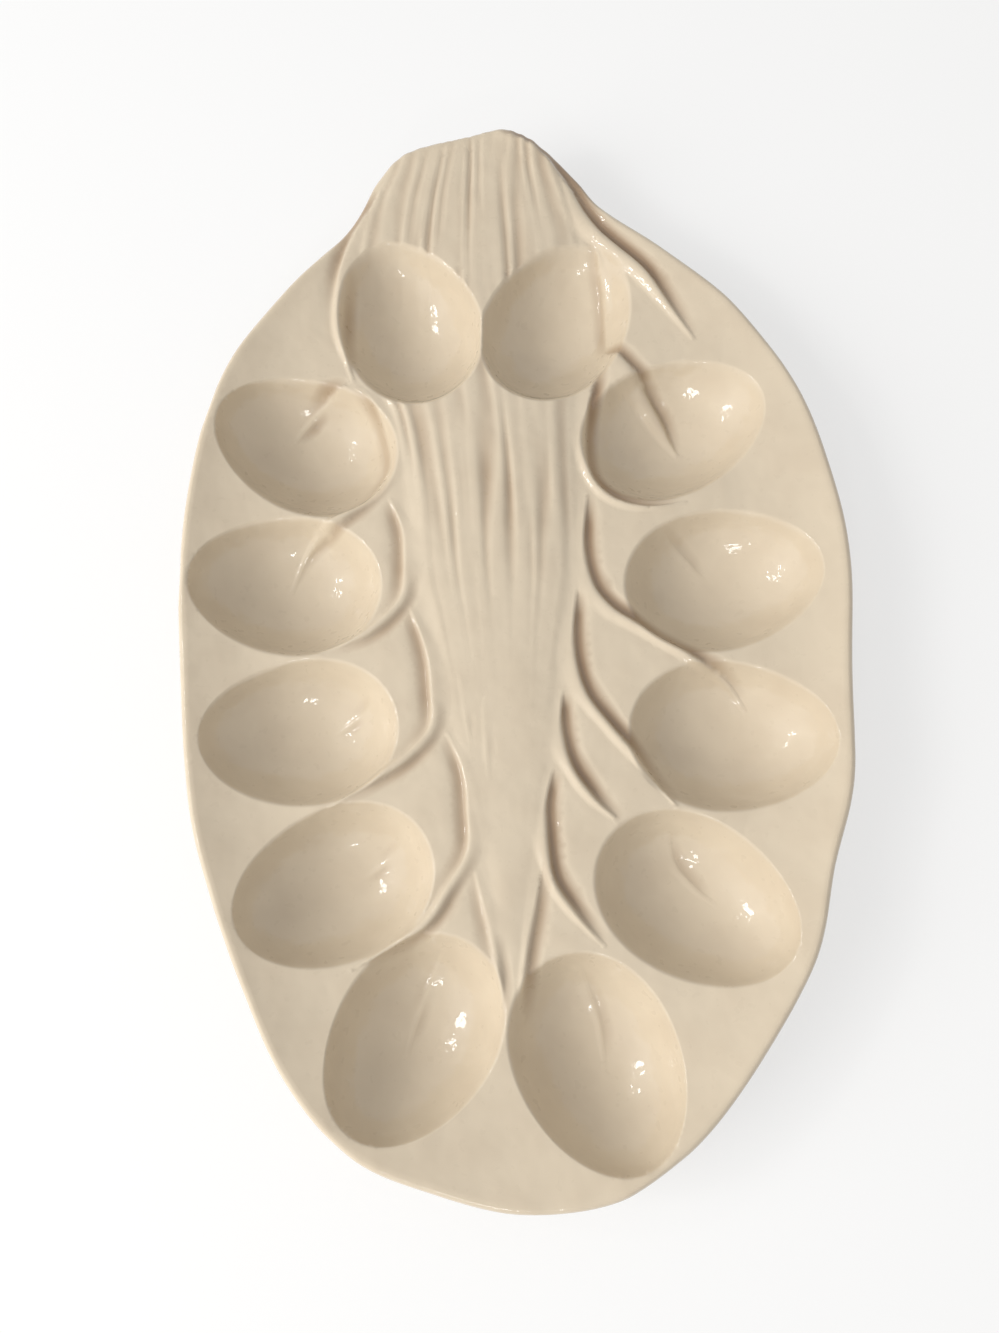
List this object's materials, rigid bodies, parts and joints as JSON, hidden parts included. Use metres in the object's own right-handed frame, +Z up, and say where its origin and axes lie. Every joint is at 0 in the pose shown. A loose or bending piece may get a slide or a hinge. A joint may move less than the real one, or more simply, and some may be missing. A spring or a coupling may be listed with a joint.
{
  "type": "deviled egg platter",
  "caption": "Oval leaf-shaped glazed ceramic platter with a fluted stalk, a raised rim and a ring of egg-shaped wells that hold halved eggs.",
  "frame": {"origin": "on the table, under the middle of the leaf's outline", "axes": "+X across the leaf, +Y along the leaf towards the cut end of its stalk, +Z up"},
  "size_m": [0.231, 0.376, 0.0311],
  "materials": {
    "glaze": "glossy ivory glaze"
  },
  "bodies": {
    "root": {"leaf": "glaze", "cup_left_1": "glaze", "cup_left_2": "glaze", "cup_left_3": "glaze", "cup_left_4": "glaze", "cup_left_5": "glaze", "cup_left_6": "glaze", "cup_right_6": "glaze", "cup_right_5": "glaze", "cup_right_4": "glaze", "cup_right_3": "glaze", "cup_right_2": "glaze", "cup_right_1": "glaze"}
  },
  "joints": []
}
